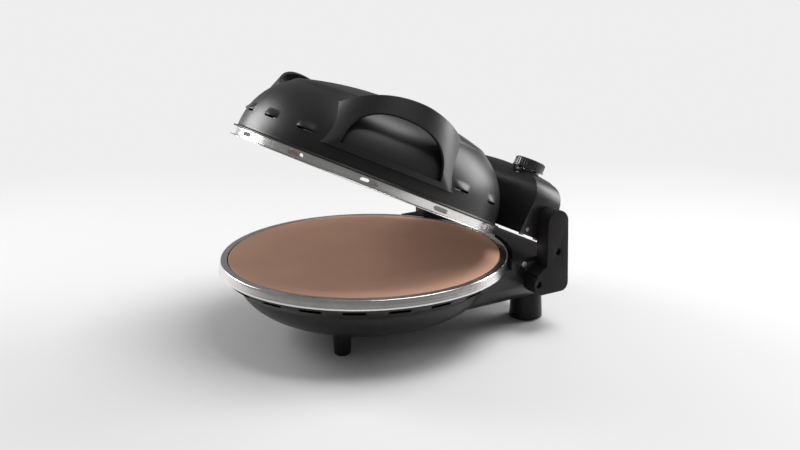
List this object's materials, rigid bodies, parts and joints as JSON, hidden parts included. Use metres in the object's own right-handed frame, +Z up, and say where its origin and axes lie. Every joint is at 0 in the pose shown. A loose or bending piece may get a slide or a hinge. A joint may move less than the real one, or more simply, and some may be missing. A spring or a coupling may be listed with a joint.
{
  "type": "electric pizza oven",
  "caption": "Round countertop pizza oven: a domed lid with two side handles and a control housing tips back on a rear hinge above a baking stone in a steel-rimmed bowl.",
  "frame": {"origin": "on the table, under the middle of the whole oven as it stands with its lid part open, 20.3 mm behind the middle of the baking stone", "axes": "+Z up, -Y towards the front where the lid opens, +X to the right seen from the front"},
  "size_m": [0.3494, 0.39, 0.3047],
  "materials": {
    "black_shell": "satin",
    "black_bracket": "satin",
    "polished_steel": "polished",
    "steel_pan": "satin",
    "refractory_stone": "matte",
    "heater_tube": "satin",
    "zinc_screw": "satin",
    "white_ceramic": "matte",
    "wire_insulation": "satin",
    "black_rubber": "matte",
    "bronze_bush": "satin",
    "lamp_red": "gloss",
    "knob_black": "gloss"
  },
  "bodies": {
    "base": {"base_shell": "black_shell", "bottom_cover": "black_bracket", "bottom_cover_screws": "zinc_screw", "rear_deck": "black_shell", "deck_screws": "zinc_screw", "rim_ring": "polished_steel", "lower_pan": "steel_pan", "pizza_stone": "refractory_stone", "lower_element": "heater_tube", "lower_element_clips": "zinc_screw", "lower_element_bushes": "white_ceramic", "base_terminal_block": "white_ceramic", "base_wires": "wire_insulation", "cord_inlet": "black_rubber", "front_feet": "black_bracket", "rear_feet": "black_bracket", "foot_pads": "black_rubber", "bracket_right": "black_bracket", "bracket_left": "black_bracket", "bracket_screws": "zinc_screw", "hinge_pins": "zinc_screw"},
    "lid": {"lid_dome": "black_shell", "handle_right": "black_shell", "handle_left": "black_shell", "handle_screws": "zinc_screw", "lid_band": "polished_steel", "lid_reflector": "steel_pan", "reflector_screws": "zinc_screw", "upper_element": "heater_tube", "upper_element_clips": "zinc_screw", "upper_element_bushes": "white_ceramic", "thermal_cutout": "zinc_screw", "control_housing": "black_shell", "housing_floor": "black_shell", "housing_screws": "zinc_screw", "hinge_bushes": "bronze_bush", "thermostat_body": "white_ceramic", "thermostat_nut": "zinc_screw", "lid_terminal_block": "white_ceramic", "lid_wires": "wire_insulation", "lamp_holder": "white_ceramic", "lamp_lens": "lamp_red"},
    "knob": {"thermostat_shaft": "zinc_screw", "thermostat_knob": "knob_black"}
  },
  "joints": [
    {"name": "lid_hinge", "type": "hinge", "parent": "base", "child": "lid", "pos_m": [0, 0.15771, 0.1335], "axis": [-1, 0, 0], "range_deg": [-25.7, 69.3]},
    {"name": "thermostat_turn", "type": "hinge", "parent": "lid", "child": "knob", "pos_m": [0.067, 0.17336, 0.18214], "axis": [0, 0.4337, 0.9011], "range_deg": [0, 270]}
  ]
}
